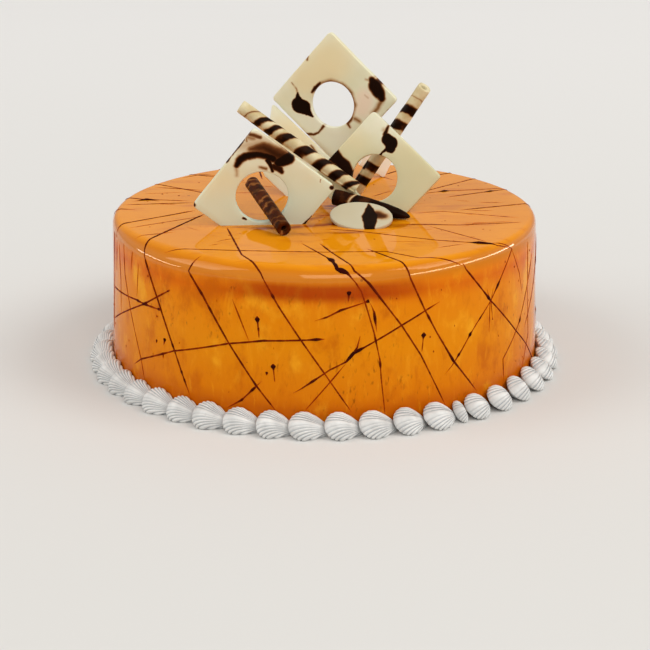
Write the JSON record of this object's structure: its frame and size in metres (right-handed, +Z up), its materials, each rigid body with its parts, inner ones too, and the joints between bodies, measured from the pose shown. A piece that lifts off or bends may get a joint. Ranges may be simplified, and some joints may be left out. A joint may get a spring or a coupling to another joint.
{
  "type": "chocolate caramel cake",
  "caption": "Round caramel-glazed cake with a piped cream shell border and a standing decoration of marbled chocolate squares, an oval and rolled chocolate sticks.",
  "frame": {"origin": "centre of the flat base, under the cake's axis", "axes": "+Z up along the cake's axis, -Y the front, +X to the right as seen from the front"},
  "size_m": [0.2315, 0.2314, 0.1533],
  "materials": {
    "caramel_glaze": "mirror-glossy caramel glaze with thin darker drizzle",
    "cream": "soft whipped cream",
    "marbled_chocolate": "satin white chocolate marbled with dark",
    "striped_chocolate": "satin, white and dark chocolate stripes",
    "dark_chocolate": "satin dark chocolate"
  },
  "bodies": {
    "root": {"glazed_cake": "caramel_glaze", "cream_border": "cream", "left_square": "marbled_chocolate", "right_square": "marbled_chocolate", "top_square": "marbled_chocolate", "cut_square": "marbled_chocolate", "back_offcut": "marbled_chocolate", "chocolate_oval": "marbled_chocolate", "striped_roll_long": "striped_chocolate", "striped_roll_back": "striped_chocolate", "dark_roll_front": "dark_chocolate", "dark_roll_lying": "dark_chocolate"}
  },
  "joints": []
}
